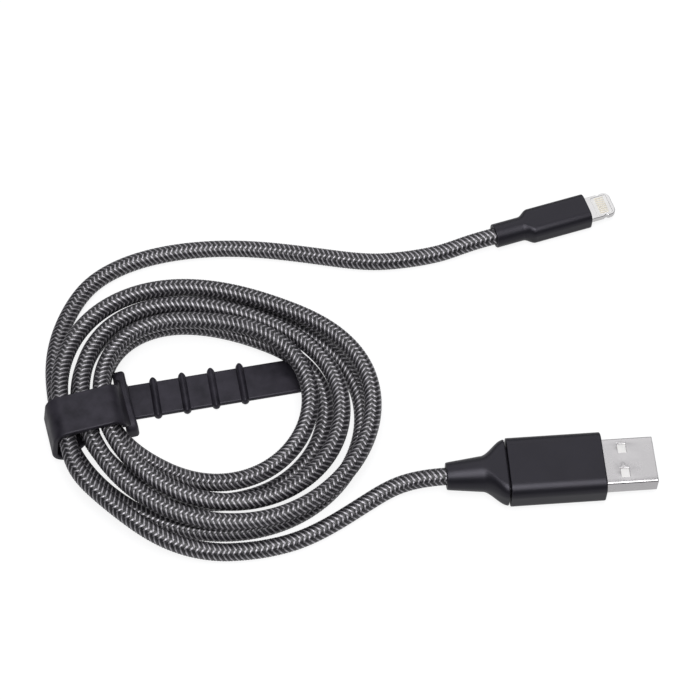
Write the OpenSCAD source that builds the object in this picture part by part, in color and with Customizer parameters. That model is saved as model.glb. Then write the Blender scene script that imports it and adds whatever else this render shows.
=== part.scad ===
// A braided charging cable, wound in five loops and held by a ribbed rubber strap.
// Millimetres, +Z up, the table at z = 0, the origin under the middle of the whole cable.

/* [Cord] */
// Diameter of the braided cord
cord_d = 4.2; // [3.6:0.1:4.6]
// Clear space between two layers of the coil
layer_gap = 0.5; // [0.45:0.05:1]
// Centre of the coil across the table
coil_x = -32; // [-40:1:-24]
// Centre of the coil along the table
coil_y = -10; // [-16:1:-4]

/* [Strap] */
// Thickness of the strap
strap_t = 1.3; // [0.9:0.1:1.5]
// Width of the band that goes round the bundle
band_w = 10.4; // [8:0.2:12]
// Width of the strap's tail
tail_w = 9.2; // [7:0.2:9.6]
// Length of the tail past the keeper
tail_len = 43; // [38:1:43]
// Height of a rib above the tail
rib_h = 1; // [0.6:0.1:1.2]
// Width of a rib along the tail
rib_w = 1.6; // [1:0.1:2.2]
// How far a rib stands out past each edge of the tail
rib_ear = 0.95; // [0.4:0.05:1.1]
// Distance from rib to rib
rib_pitch = 7; // [5:0.5:7.5]
// Number of ribs
rib_count = 5; // [3:1:5]
// Width of the keeper's bar and posts along the tail
keeper_w = 2.2; // [1.6:0.1:2.4]
// Thickness of the keeper's bar
keeper_t = 1.7; // [1.2:0.1:2.2]
// Width of each of the keeper's posts
post_w = 2; // [1.4:0.1:2.2]
// Clearance between the tail and the keeper
tail_fit = 0.35; // [0.3:0.05:0.5]
// Clearance between the band and the bundle
band_fit = 0.35; // [0.3:0.05:0.6]

/* [Type A plug] */
// Length of the housing
a_len = 22.2; // [18:0.2:28]
// Width of the housing
a_w = 15.7; // [14.6:0.1:18]
// Thickness of the housing
a_h = 8.6; // [7.6:0.1:10]
// Corner radius of the housing
a_r = 2.8; // [1:0.1:3]
// Wall of the housing
a_wall = 1.1; // [0.8:0.1:1.2]
// Open seam between the housing and the strain relief
a_seam = 0.4; // [0.2:0.1:0.8]
// Length of the flared part of the strain relief
a_flare = 5.9; // [4:0.1:8]
// Length of the strain relief's round neck
a_neck = 8.1; // [6:0.1:12]
// Diameter of the neck where it leaves the flare
a_neck_d = 8.3; // [7:0.1:8.4]
// Diameter of the neck at its mouth
a_mouth_d = 6.4; // [5.8:0.1:7]
// Width of the metal shell
shell_w = 12; // [11.9:0.05:12.1]
// Height of the metal shell
shell_h = 4.5; // [4.4:0.05:4.6]
// Sheet thickness of the shell
shell_t = 0.3; // [0.25:0.05:0.35]
// How far the shell stands out of the housing
shell_out = 12.1; // [11.5:0.1:12.6]
// How far the shell reaches into the housing
shell_in = 12; // [8:0.5:13]
// Length of a latch window in the shell
window_l = 2; // [1.6:0.1:2.4]
// Width of a latch window in the shell
window_w = 2.4; // [2:0.1:2.8]
// Distance between the two windows' centres
window_gap = 6.4; // [6:0.1:6.8]
// Distance from the shell's tip to the windows' centres
window_back = 6.4; // [5.5:0.1:7]
// Thickness of the plastic tongue
tongue_t = 1.84; // [1.7:0.02:1.9]
// How far the tongue stays behind the shell's tip
tongue_back = 0.7; // [0.4:0.1:1.2]
// Width of a contact strip
strip_w = 1; // [0.8:0.1:1.2]
// Thickness of a contact strip
strip_t = 0.2; // [0.15:0.05:0.25]

/* [Phone plug] */
// Length of the housing's straight part
p_len = 14.9; // [14:0.1:18]
// Width of the housing
p_w = 8.4; // [8.2:0.1:10]
// Thickness of the housing
p_h = 6; // [5.8:0.1:7]
// Corner radius of the housing
p_r = 2.1; // [1:0.1:2.4]
// Wall of the housing
p_wall = 0.75; // [0.6:0.05:0.8]
// Length of the taper behind the straight part
p_flare = 2.8; // [2:0.1:4]
// Length of the round neck
p_neck = 7; // [5:0.1:9]
// Diameter of the neck
p_neck_d = 6; // [5.6:0.1:6]
// Width of the plug's tab
tab_w = 6.7; // [6.5:0.05:6.8]
// Thickness of the tab
tab_t = 1.5; // [1.4:0.05:1.6]
// How far the tab stands out of the housing
tab_out = 6.9; // [6.5:0.1:7.2]
// How far the tab reaches into the housing
tab_in = 4; // [3:0.2:4.6]
// Corner radius of the tab's tip
tab_r = 1.6; // [0.8:0.1:2]
// Rim of the metal frame round the insert
tab_rim = 0.65; // [0.5:0.05:0.9]
// Distance from contact to contact
pad_pitch = 0.62; // [0.58:0.02:0.64]
// Width of a contact
pad_w = 0.4; // [0.3:0.02:0.44]
// Length of a contact
pad_l = 2.4; // [1.8:0.1:3]
// Thickness of a contact
pad_t = 0.12; // [0.1:0.02:0.16]
// Thickness of the circuit board
board_t = 0.8; // [0.6:0.1:0.9]
// Sheet thickness of the shielding can
can_t = 0.2; // [0.15:0.05:0.25]

/* [Plug fittings] */
// Clearance between a fixed piece and its pocket
seat_fit = 0.05; // [0.03:0.01:0.1]
// Wall of a crimped collar
collar_t = 0.6; // [0.4:0.05:0.7]
// Length of a crimped collar
collar_l = 2.4; // [1.6:0.1:3]
// Diameter of an insulated wire
wire_d = 1; // [0.8:0.05:1.1]

/* [Hidden] */
$fn = 48;
cut = 1;

// ---- The coil: five loops, each with eight stations, 45 degrees apart, the first at the strap.
// A loop's radius at a station is the reach there, plus its lane times the lane's pitch.
loops = 5;
stations = 8;
coil_start = 189;
reach = [24.5, 19.8, 20.2, 24.6, 22.2, 18.9, 20.2, 27.1];
lane_play = [0.5, 0.6, 0.7, 2.2, 3.6, 1.6, 0.7, 0.6];
// The share of the strap's height that the bundle is lifted by
lift = [1.265, 0.2, 0, 0, 0, 0, 0, 0.74];
lift_h = strap_t + band_fit;
layer = cord_d + layer_gap;
// How far the loops rise to ride over the strap's tail
ride = 1.2 * (strap_t + 0.4) / layer;
lane = [2.4, 2.6, 2.75, 1.98, 1.81, 1.33, 1.5, 1.4,
    1.35, 1.35, 1.1, 0.52, 0.72, 0, 0.1, 0.3,
    0.2, -0.1, 0.7, 0, 0.19, 0.16, -0.2, 0.05,
    0.1, 0.95, 1.7, 1.37, 1.05, 0.84, 0.8, 1.08,
    1.1, 1.95, 2.75, 2.19, 2.24, 1.46, 1.85, 2.14, 2.28];
level = [0, 0, 0, 0, 0, 0.12, 0, 0,
    0, 0, 0, 0, ride + 0.01, ride - 0.1, 0, 0,
    0, 0, 1, 1.16, 0.77 + ride, 1.02 + ride, 1, 1,
    1, 1, 1, 1.16, 1.11, 0.63, 1, 1,
    1, 1, 1, 1.09, 1.43, 1.01, 1, 1, 1];

function blend(a, b, c, d, f) =
    (a * pow(1 - f, 3) + b * (3 * pow(f, 3) - 6 * f * f + 4)
    + c * (-3 * pow(f, 3) + 3 * f * f + 3 * f + 1) + d * pow(f, 3)) / 6;
function along(list, k) = list[min(max(k, 0), len(list) - 1)];
function round_loop(list, k) = list[(k + stations) % stations];
// A list's value between its stations, for one that runs on and for one that repeats each loop
function run_value(list, u) = let(i = floor(u))
    blend(along(list, i - 1), along(list, i), along(list, i + 1), along(list, i + 2), u - i);
function loop_value(list, u) = let(v = u % stations, i = floor(v))
    blend(round_loop(list, i - 1), round_loop(list, i), round_loop(list, i + 1),
    round_loop(list, i + 2), v - i);
function coil_point(t) =
    let(u = t * stations, a = coil_start + 360 * t,
    r = loop_value(reach, u) + (cord_d + loop_value(lane_play, u)) * run_value(lane, u))
    [coil_x + r * cos(a), coil_y + r * sin(a),
    cord_d / 2 + layer * run_value(level, u) + lift_h * loop_value(lift, u)];

function unit(v) = v / norm(v);
function flat(v) = unit([v[0], v[1], 0]);
// The coil's ends run straight for one diameter
nudge = 0.002;
coil_in_dir = flat(coil_point(nudge) - coil_point(0));
coil_out_dir = flat(coil_point(loops) - coil_point(loops - nudge));
coil_in = coil_point(0) - cord_d * coil_in_dir;
coil_out = coil_point(loops) + cord_d * coil_out_dir;
loop_rings = 24;
coil_sides = 6;
lead_sides = 12;
coil_rings = concat([coil_in], [for (i = [0:loops * loop_rings]) coil_point(i / loop_rings)],
    [coil_out]);

// The least gap between the loops, measured on points
gap_steps = 60;
gap_points = [for (i = [0:loops * gap_steps]) coil_point(i / gap_steps)];
gap_reach = 4;
coil_gap = min([for (i = [0:(loops - 1) * gap_steps], k = [1:loops], j = [-gap_reach:gap_reach])
    let(m = i + k * gap_steps + j)
    if (m < len(gap_points)) norm(gap_points[i] - gap_points[m])]) - cord_d;

// ---- The plugs' places on the table: the middle of the housing's front face, and its heading
type_a_at = [59.8, -27.65, a_h / 2];
type_a_turn = 4.2;
phone_at = [60.5, 45.6, p_h / 2];
phone_turn = 18.2;
a_boot_len = a_seam + a_flare + a_neck;
a_mouth_x = -a_len - a_boot_len;
p_mouth_x = -p_len - p_flare - p_neck;
function heading(turn) = [cos(turn), sin(turn), 0];
function placed(at, turn, x) = at + x * heading(turn);

// ---- The cord's free stretches, chosen by hand
phone_route = concat([placed(phone_at, phone_turn, p_mouth_x)],
    [[31, 36, 2.7], [23.5, 33.4, 2.1], [15, 31.5, 2.1], [7, 30.8, 2.1], [-3, 31.8, 2.1],
    [-14, 33.5, 2.1], [-25, 34.6, 2.1], [-36, 34.4, 2.1], [-47, 32.5, 2.1], [-56, 29, 2.1],
    [-63, 23.5, 2.2], [-67.5, 15.5, 2.4], [-69.8, 6.5, 2.8], [-70, -1.5, 3.4], [-69.3, -7, 3.7]],
    [coil_in]);
type_a_route = concat([coil_out],
    [[-64.3, -24, 8.3], [-61.8, -30.5, 8.1], [-56.5, -36.3, 7.5], [-50, -41.5, 6.6],
    [-43, -45.8, 5.2], [-35, -48.3, 3.4], [-27, -48.7, 2.1], [-19, -47.9, 2.1], [-11, -45.7, 2.1],
    [-3, -41.5, 2.1], [5, -36, 2.1], [12, -32, 2.7], [18, -30.8, 3.9]],
    [placed(type_a_at, type_a_turn, a_mouth_x)]);

// A closed solid through rings of equal point counts
module loft(rings) {
    n = len(rings);
    m = len(rings[0]);
    skin = [for (i = [0:n - 2], k = [0:m - 1]) let(p = i * m + k, q = i * m + (k + 1) % m)
        each [[p, q, q + m], [p, q + m, p + m]]];
    last = (n - 1) * m;
    ends = [for (k = [1:m - 2]) each [[0, k + 1, k], [last, last + k, last + k + 1]]];
    polyhedron([for (r = rings) each r], concat(skin, ends), convexity = 10);
}

// One tube swept along points, with a ring square to the route at each point, and its two ends
// square to the ways given
module tube(points, sides, first_angle, way_in, way_out) {
    n = len(points);
    ways = concat([way_in], [for (i = [1:n - 2]) unit(points[i + 1] - points[i - 1])], [way_out]);
    loft([for (i = [0:n - 1])
        let(side = unit(cross(ways[i], [0, 0, 1])), up = cross(side, ways[i]))
        [for (k = [0:sides - 1]) let(a = first_angle + 360 * k / sides)
        points[i] + cord_d / 2 * (cos(a) * side + sin(a) * up)]]);
}

// A rounded rectangle across the plug's length, and its points for a loft
module rounded(w, h, r) {
    square([w - 2 * r, h], center = true);
    square([w, h - 2 * r], center = true);
    for (x = [-1, 1], y = [-1, 1])
        translate([x * (w / 2 - r), y * (h / 2 - r)]) circle(r);
}
corner_steps = 8;
function rounded_ring(x, w, h, r) =
    [for (q = [0:3], k = [0:corner_steps - 1])
        let(a = 90 * q + 90 * k / (corner_steps - 1), sy = (q == 0 || q == 3) ? 1 : -1, sz = q < 2 ? 1 : -1)
        [x, sy * (w / 2 - r) + r * cos(a), sz * (h / 2 - r) + r * sin(a)]];
// A bar along the plug's length with a rounded rectangle for its section
module bar(x0, x1, w, h, r) {
    translate([x0, 0, 0]) rotate([90, 0, 90]) linear_extrude(x1 - x0) rounded(w, h, r);
}
module rod(x0, x1, d) {
    translate([x0, 0, 0]) rotate([0, 90, 0]) cylinder(h = x1 - x0, d = d);
}
module block(x0, x1, w, z0, z1) {
    translate([x0, -w / 2, z0]) cube([x1 - x0, w, z1 - z0]);
}
module wire(a, b) {
    way = b - a;
    translate(a) rotate([0, acos(way[2] / norm(way)), atan2(way[1], way[0])])
        cylinder(h = norm(way), d = wire_d, $fn = 24);
}
module type_a_place() {
    translate(type_a_at) rotate([0, 0, type_a_turn]) children();
}
// The type A plug lies with its tongue uppermost, so what is drawn with the tongue below is turned over
module tongue_place() {
    type_a_place() rotate([180, 0, 0]) children();
}
module phone_place() {
    translate(phone_at) rotate([0, 0, phone_turn]) children();
}

// ---- Type A plug: x = 0 is the housing's front face, +x the way it plugs in
ease = 0.5;
cord_bore = cord_d + 2 * seat_fit;
collar_d = cord_bore + 2 * collar_t;
shell_r = 0.6;
tongue_bottom = -shell_h / 2 + shell_t;
tongue_top = tongue_bottom + tongue_t;
tongue_w = shell_w - 2 * shell_r - 2 * seat_fit;
strip_floor = tongue_top - strip_t - seat_fit;
strip_y = [-3.5, -1, 1, 3.5];
strip_tail = 1.8;
strip_len = 7.4;
a_spigot = 1.4;
a_spigot_w = a_w - 2 * a_wall - 2;
a_spigot_h = a_h - 2 * a_wall - 2;
a_pocket_end = -a_len + a_wall;
a_collar_x = a_pocket_end + 0.3;
a_cord_x = a_collar_x + collar_l;
a_solder_x = -shell_in - strip_tail;
a_solder_l = 1.4;

module type_a_shell() {
    color("gainsboro") type_a_place() difference() {
        bar(-shell_in, shell_out, shell_w, shell_h, shell_r);
        bar(-shell_in - cut, shell_out + cut, shell_w - 2 * shell_t, shell_h - 2 * shell_t, shell_r - shell_t);
        for (y = [-1, 1])
            translate([shell_out - window_back - window_l / 2, y * window_gap / 2 - window_w / 2, -shell_h])
                cube([window_l, window_w, 2 * shell_h]);
    }
}
module type_a_tongue() {
    color("white") tongue_place() difference() {
        block(-shell_in, shell_out - tongue_back, tongue_w, tongue_bottom, tongue_top);
        for (y = strip_y)
            translate([-shell_in - cut, y - strip_w / 2 - seat_fit, strip_floor])
                cube([shell_in + cut + shell_out - tongue_back - 1, strip_w + 2 * seat_fit, cut]);
    }
}
module type_a_contacts() {
    color("gold") tongue_place() for (y = strip_y)
        translate([a_solder_x, y - strip_w / 2, strip_floor])
            cube([shell_out - tongue_back - 1.2 - a_solder_x - (abs(y) > 2 ? 0 : 1), strip_w, strip_t]);
}
module type_a_solder() {
    color("silver") tongue_place() for (y = strip_y)
        translate([a_solder_x, y - strip_w / 2, strip_floor + strip_t])
            cube([a_solder_l, strip_w, wire_d]);
}
module type_a_wires() {
    color("firebrick") tongue_place() for (k = [0:3])
        wire([a_cord_x + wire_d * 0.6, (k < 2 ? -1 : 1) * wire_d * 0.62, (k % 2 == 0 ? -1 : 1) * wire_d * 0.62],
            [a_solder_x - 2 * seat_fit - 0.2, strip_y[k], strip_floor + strip_t + wire_d / 2]);
}
module type_a_inner_mould() {
    color("ivory") type_a_place() difference() {
        bar(a_cord_x + 0.3, -shell_in - seat_fit, a_w - 2 * a_wall - 2 * seat_fit,
            a_h - 2 * a_wall - 2 * seat_fit, a_r - a_wall);
        block(a_cord_x, -shell_in + cut, 2 * strip_y[3] + strip_w + 1.6, -wire_d * 1.5, wire_d * 1.5);
    }
}
module type_a_crimp_collar() {
    color("silver") type_a_place() difference() {
        rod(a_collar_x, a_cord_x, collar_d);
        rod(a_collar_x - cut, a_cord_x + cut, cord_bore);
    }
}
module type_a_cord_end() {
    color("dimgray") type_a_place() rod(a_mouth_x, a_cord_x, cord_d);
}
module type_a_housing() {
    color([0.25, 0.24, 0.27]) type_a_place() difference() {
        bar(-a_len, 0, a_w, a_h, a_r);
        bar(a_pocket_end, -a_wall, a_w - 2 * a_wall, a_h - 2 * a_wall, a_r - a_wall);
        bar(-a_wall - cut, cut, shell_w + 2 * seat_fit, shell_h + 2 * seat_fit, shell_r);
        bar(-a_len - cut, a_pocket_end + cut, a_spigot_w + 2 * seat_fit, a_spigot_h + 2 * seat_fit, ease);
    }
}
module type_a_boot() {
    flare_steps = 8;
    neck_steps = 2;
    flare_start = -a_len - a_seam;
    boot_w = a_w - 0.5;
    boot_h = a_h - 0.3;
    flare = [for (i = [0:flare_steps]) let(f = i / flare_steps, s = f * f * (3 - 2 * f))
        rounded_ring(flare_start - a_flare * f, boot_w + (a_neck_d - boot_w) * s,
            boot_h + (a_neck_d - boot_h) * s, a_r + (a_neck_d / 2 - 0.02 - a_r) * s)];
    neck = [for (i = [1:neck_steps]) let(f = i / neck_steps, d = a_neck_d + (a_mouth_d - a_neck_d) * f)
        rounded_ring(flare_start - a_flare - a_neck * f, d, d, d / 2 - 0.02)];
    color([0.25, 0.24, 0.27]) type_a_place() difference() {
        union() {
            loft(concat(flare, neck));
            bar(flare_start - cut, -a_len + a_spigot, a_spigot_w, a_spigot_h, ease);
        }
        rod(a_mouth_x - cut, -a_len + a_spigot + cut, cord_bore);
        rod(a_collar_x - seat_fit, -a_len + a_spigot + cut, collar_d + 2 * seat_fit);
    }
}

// ---- Phone plug: x = 0 is the housing's front face, +x the way it plugs in
p_pocket_w = p_w - 2 * p_wall;
p_pocket_h = p_h - 2 * p_wall;
p_pocket_end = -p_len + 1;
bore_ease = 0.35;
insert_w = tab_w - 2 * tab_rim;
insert_step = 0.35;
insert_core = tab_t - 2 * insert_step;
insert_x0 = 2;
insert_x1 = tab_out - 0.9;
pad_count = 8;
pad_x = (insert_x0 + insert_x1 - pad_l) / 2;
p_collar_x = p_pocket_end - collar_l;
p_board_x0 = p_pocket_end + 2.4;
p_board_x1 = -tab_in - 0.4;
p_board_w = p_pocket_w - 2 * can_t - 4 * seat_fit - 0.2;
p_can_x0 = p_board_x0 - 0.3;
p_wire_z = board_t / 2 + wire_d / 2;

module phone_tab_frame() {
    color("silver") phone_place() difference() {
        translate([0, 0, -tab_t / 2]) linear_extrude(tab_t) {
            translate([-tab_in, -tab_w / 2]) square([tab_in + tab_out - tab_r, tab_w]);
            translate([-tab_in, tab_r - tab_w / 2]) square([tab_in + tab_out, tab_w - 2 * tab_r]);
            for (y = [-1, 1])
                translate([tab_out - tab_r, y * (tab_w / 2 - tab_r)]) circle(tab_r);
        }
        block(insert_x0, insert_x1, insert_w, -tab_t, tab_t);
        block(-tab_in - cut, insert_x1, insert_w, -insert_core / 2, insert_core / 2);
    }
}
module phone_tab_insert() {
    color("gainsboro") phone_place() difference() {
        union() {
            block(insert_x0, insert_x1, insert_w, -tab_t / 2, tab_t / 2);
            block(p_board_x1, insert_x1, insert_w, -insert_core / 2, insert_core / 2);
        }
        for (k = [0:pad_count - 1], z = [-1, 1])
            translate([pad_x - seat_fit, pad_y(k) - pad_w / 2 - seat_fit, z > 0 ? tab_t / 2 - pad_t : -tab_t / 2 - cut + pad_t])
                cube([pad_l + 2 * seat_fit, pad_w + 2 * seat_fit, cut]);
    }
}
function pad_y(k) = (k - (pad_count - 1) / 2) * pad_pitch;
module phone_contacts() {
    color("gold") phone_place() for (k = [0:pad_count - 1], z = [-1, 1])
        translate([pad_x, pad_y(k) - pad_w / 2, z > 0 ? tab_t / 2 - pad_t : -tab_t / 2])
            cube([pad_l, pad_w, pad_t]);
}
module phone_board() {
    color("darkgreen") phone_place() block(p_board_x0, p_board_x1, p_board_w, -board_t / 2, board_t / 2);
}
big_chip = [2.2, 2.4, 0.7];
small_part = [1, 0.6, 0.4];
flat_chip = [2, 2, 0.5];
module phone_chips() {
    color("black") phone_place() {
        // One large chip with two small parts beside it on top, and a flat chip below
        translate([p_board_x1 - 3, -big_chip[1] / 2, board_t / 2]) cube(big_chip);
        for (x = [1.6, 3.2])
            translate([p_board_x1 - x, big_chip[1] / 2 + small_part[2], board_t / 2]) cube(small_part);
        translate([p_board_x1 - 3.2, -flat_chip[1] / 2, -board_t / 2 - flat_chip[2]]) cube(flat_chip);
    }
}
module phone_shield_can() {
    color("silver") phone_place() difference() {
        bar(p_can_x0, -tab_in - seat_fit, p_pocket_w - 2 * seat_fit, p_pocket_h - 2 * seat_fit, ease);
        bar(p_can_x0 - cut, cut, p_pocket_w - 2 * seat_fit - 2 * can_t, p_pocket_h - 2 * seat_fit - 2 * can_t, ease - can_t);
    }
}
module phone_inner_mould() {
    color("ivory") phone_place() difference() {
        bar(p_pocket_end + seat_fit, p_can_x0 - seat_fit, p_pocket_w - 2 * seat_fit, p_pocket_h - 2 * seat_fit, ease);
        rod(p_pocket_end - cut, p_can_x0 + cut, 2 * (p_wire_z + wire_d / 2 + bore_ease));
    }
}
module phone_wires() {
    color("firebrick") phone_place() for (y = [-1, 1], z = [-1, 1])
        translate([0, y * wire_d * 0.6, z * p_wire_z]) rod(p_pocket_end + seat_fit, p_board_x0 + 1.2, wire_d);
}
module phone_crimp_collar() {
    color("silver") phone_place() difference() {
        rod(p_collar_x, p_pocket_end, collar_d - 0.4);
        rod(p_collar_x - cut, p_pocket_end + cut, cord_bore);
    }
}
module phone_cord_end() {
    color("dimgray") phone_place() rod(p_mouth_x, p_pocket_end, cord_d);
}
module phone_housing() {
    taper_steps = 6;
    step_in = 0.04;
    taper_w = p_w - step_in;
    taper_h = p_h - step_in;
    // The taper starts inside the straight part and runs on as the neck
    taper = [for (i = [0:taper_steps]) let(f = i / taper_steps, s = f * f * (3 - 2 * f))
        rounded_ring(-p_len - p_flare * f, taper_w + (p_neck_d - taper_w) * s,
            taper_h + (p_neck_d - taper_h) * s, p_r + (p_neck_d / 2 - 0.02 - p_r) * s)];
    root = [rounded_ring(-p_len + 0.5, taper_w, taper_h, p_r)];
    neck = [rounded_ring(p_mouth_x, p_neck_d, p_neck_d, p_neck_d / 2 - 0.02)];
    color([0.25, 0.24, 0.27]) phone_place() difference() {
        union() {
            bar(-p_len, 0, p_w, p_h, p_r);
            loft(concat(root, taper, neck));
        }
        bar(p_pocket_end, -p_wall, p_pocket_w, p_pocket_h, ease);
        block(-p_wall - cut, cut, tab_w + 2 * seat_fit, -tab_t / 2 - seat_fit, tab_t / 2 + seat_fit);
        rod(p_mouth_x - cut, p_pocket_end + cut, cord_bore);
        rod(p_collar_x - seat_fit, p_pocket_end + cut, collar_d - 0.4 + 2 * seat_fit);
    }
}

// ---- The cord
module phone_lead() {
    color("gray") tube(phone_route, lead_sides, 0, -heading(phone_turn), coil_in_dir);
}
module cord_coil() {
    color("darkgray") tube(coil_rings, coil_sides, 90, coil_in_dir, coil_out_dir);
}
module type_a_lead() {
    color("gray") tube(type_a_route, lead_sides, 0, coil_out_dir, heading(type_a_turn));
}

// ---- The strap: its frame stands on the innermost low loop, +x toward the tail
strap_turn = atan2(coil_in_dir[1], coil_in_dir[0]) + 90;
strap_at = coil_point(2);
function in_strap(p) = let(v = p - strap_at)
    [v[0] * cos(strap_turn) + v[1] * sin(strap_turn), p[2]];
band_r = cord_d / 2 + band_fit;
// The four loops that the band bends round, and the angles at which it does
// The inner corner stands off by the loops' spread under the band's width
spread = [0.7, 0];
corners = [in_strap(coil_point(3)) + spread, in_strap(coil_point(loops)), in_strap(coil_point(0))];
corner_a = [[0, 90], [90, 172], [172, 270]];
band_steps = 6;
// The share of the keeper's extra width that the band has at its inner corner
flare = 0.13;
// How far the band runs off the strap's line over the bundle, and at the keeper
band_y = -1.9;
keeper_y = 3.15;
// The keeper stands off from the loops, which spread out on both sides of the band
keeper_off = 1.6;
keeper_x = band_r + keeper_off + keeper_w / 2;
post_chamfer = 1.5;
rib_start = 0.3;
slot_h = strap_t + rib_h + tail_fit;
keeper_top = slot_h + keeper_t;
slot_w = tail_w + 2 * rib_ear + 5 * tail_fit;
keeper_len = slot_w + 2 * post_w;
root_gap = 0.8;
root_x = -1.5;
tail_y = 3.7;
under_y = tail_y - 0.4;
tail_turn = -5;

module strap_place() {
    translate([strap_at[0], strap_at[1], 0]) rotate([0, 0, strap_turn]) children();
}
// One cross-section of the band: a strip from the bundle's side out to its outer face
function strip(p, a, r, y, w) =
    let(n = [cos(a), sin(a)], q = p + r * n, o = p + (r + strap_t) * n)
    [[q[0], y - w / 2, q[1]], [q[0], y + w / 2, q[1]], [o[0], y + w / 2, o[1]], [o[0], y - w / 2, o[1]]];
module strap_loop() {
    bends = [for (c = [0:2], k = [0:band_steps])
        let(a = corner_a[c][0] + (corner_a[c][1] - corner_a[c][0]) * k / band_steps,
        f = c == 0 ? flare * (1 - k / band_steps) : 0)
        strip(corners[c], a, band_r, band_y + (keeper_y - band_y) * f, band_w + (keeper_len - band_w) * f)];
    under = [strip([root_x - root_gap, corners[2][1]], 270, band_r, under_y, band_w)];
    rise = [strip([keeper_x - keeper_w / 2 - band_r, keeper_top - strap_t], 0, band_r, keeper_y, keeper_len - 2 * post_chamfer)];
    color([0.27, 0.26, 0.3]) strap_place() {
        loft(concat(rise, bends, under));
        translate([keeper_x, keeper_y, 0]) difference() {
            translate([0, 0, keeper_top / 2]) rotate([0, 90, 0]) translate([0, 0, -keeper_w / 2])
                linear_extrude(keeper_w) rounded(keeper_top, keeper_len, 0.6);
            translate([-keeper_w, -slot_w / 2, -cut]) cube([2 * keeper_w, slot_w, slot_h + cut]);
            for (side = [-1, 1]) translate([-keeper_w / 2, side * keeper_len / 2, 0])
                rotate([0, 0, 45]) cube([post_chamfer, post_chamfer, 3 * keeper_top], center = true);
        }
    }
}
module strap_tail() {
    color([0.29, 0.28, 0.32]) strap_place() translate([keeper_x, tail_y, 0]) rotate([0, 0, tail_turn]) {
        translate([root_x - keeper_x, -tail_w / 2, 0]) cube([tail_len - root_x + keeper_x, tail_w, strap_t]);
        for (k = [0:rib_count - 1]) translate([k * rib_pitch + rib_start, 0, 0])
            translate([-rib_w / 2, -tail_w / 2 - rib_ear, 0]) cube([rib_w, tail_w + 2 * rib_ear, strap_t + rib_h]);
    }
}

echo(least_gap_between_loops = coil_gap);

type_a_shell();
type_a_tongue();
type_a_contacts();
type_a_solder();
type_a_wires();
type_a_inner_mould();
type_a_crimp_collar();
type_a_cord_end();
type_a_housing();
type_a_boot();
phone_tab_frame();
phone_tab_insert();
phone_contacts();
phone_board();
phone_chips();
phone_shield_can();
phone_inner_mould();
phone_wires();
phone_crimp_collar();
phone_cord_end();
phone_housing();
phone_lead();
cord_coil();
type_a_lead();
strap_loop();
strap_tail();
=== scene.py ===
import bpy
import numpy as np
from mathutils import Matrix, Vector


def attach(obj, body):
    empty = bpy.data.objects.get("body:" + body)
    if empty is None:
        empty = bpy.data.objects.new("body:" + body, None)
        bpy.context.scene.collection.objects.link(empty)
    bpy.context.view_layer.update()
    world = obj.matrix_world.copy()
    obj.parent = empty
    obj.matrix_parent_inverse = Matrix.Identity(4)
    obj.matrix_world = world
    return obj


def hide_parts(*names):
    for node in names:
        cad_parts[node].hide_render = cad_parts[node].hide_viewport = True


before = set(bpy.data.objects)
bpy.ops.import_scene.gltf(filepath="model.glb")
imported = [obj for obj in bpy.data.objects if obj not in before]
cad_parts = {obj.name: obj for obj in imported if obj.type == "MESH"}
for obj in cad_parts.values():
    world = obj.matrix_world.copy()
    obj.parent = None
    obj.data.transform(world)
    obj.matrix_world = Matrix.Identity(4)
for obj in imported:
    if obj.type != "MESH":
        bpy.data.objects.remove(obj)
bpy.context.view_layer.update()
MM = 0.001

# ---- The table, the lamps and the camera
# The cable lies on a white studio table. A soft box in front of it and a small one above light it, a dim
# panel stands behind, and the room is dark grey, so that dark plastic keeps a dark side.
scene = bpy.context.scene
scene.view_settings.view_transform = "Standard"
camera = bpy.data.objects.new("camera", bpy.data.cameras.new("camera"))
camera.data.sensor_width = 36
camera.data.lens = 105.7
camera.data.clip_start = 0.01
camera.location = (0.001, -0.25102, 0.42858)
camera.rotation_euler = (np.radians(31), 0, 0)
scene.collection.objects.link(camera)
scene.camera = camera


def soft_lamp(name, place, aim, width, depth, watts):
    """A rectangular soft box at one point, turned to face another."""
    lamp = bpy.data.objects.new(name, bpy.data.lights.new(name, "AREA"))
    lamp.data.shape = "RECTANGLE"
    lamp.data.size, lamp.data.size_y, lamp.data.energy = width, depth, watts
    lamp.location = place
    lamp.rotation_euler = (Vector(aim) - lamp.location).to_track_quat("-Z", "Y").to_euler()
    scene.collection.objects.link(lamp)


soft_lamp("lamp_front", (0.03, -0.42, 0.8), (0, 0, 0), 0.7, 0.45, 4.2)
soft_lamp("lamp_above", (0.02, -0.1, 0.92), (0, 0, 0), 0.4, 0.4, 2.8)
soft_lamp("panel_behind", (0, 0.75, 0.75), (0, 0, 0), 1.2, 1.0, 3.6)

room = bpy.data.worlds.new("room")
room.use_nodes = True
room_light = room.node_tree.nodes["Background"]
room_light.inputs["Color"].default_value = (0.9, 0.92, 1, 1)
room_light.inputs["Strength"].default_value = 0.08
scene.world = room

TABLE_HALF = 1.5
table_mesh = bpy.data.meshes.new("table")
table_mesh.from_pydata(
    [(x * TABLE_HALF, y * TABLE_HALF, 0) for x, y in ((-1, -1), (1, -1), (1, 1), (-1, 1))], [], [(0, 1, 2, 3)]
)
table = bpy.data.objects.new("table", table_mesh)
scene.collection.objects.link(table)
paper = bpy.data.materials.new("table_paper")
paper.use_nodes = True
nodes, links = paper.node_tree.nodes, paper.node_tree.links
shader = nodes["Principled BSDF"]
shader.inputs["Base Color"].default_value = (0.22, 0.22, 0.225, 1)
shader.inputs["Roughness"].default_value = 0.9
shader.inputs["Specular IOR Level"].default_value = 0
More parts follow.
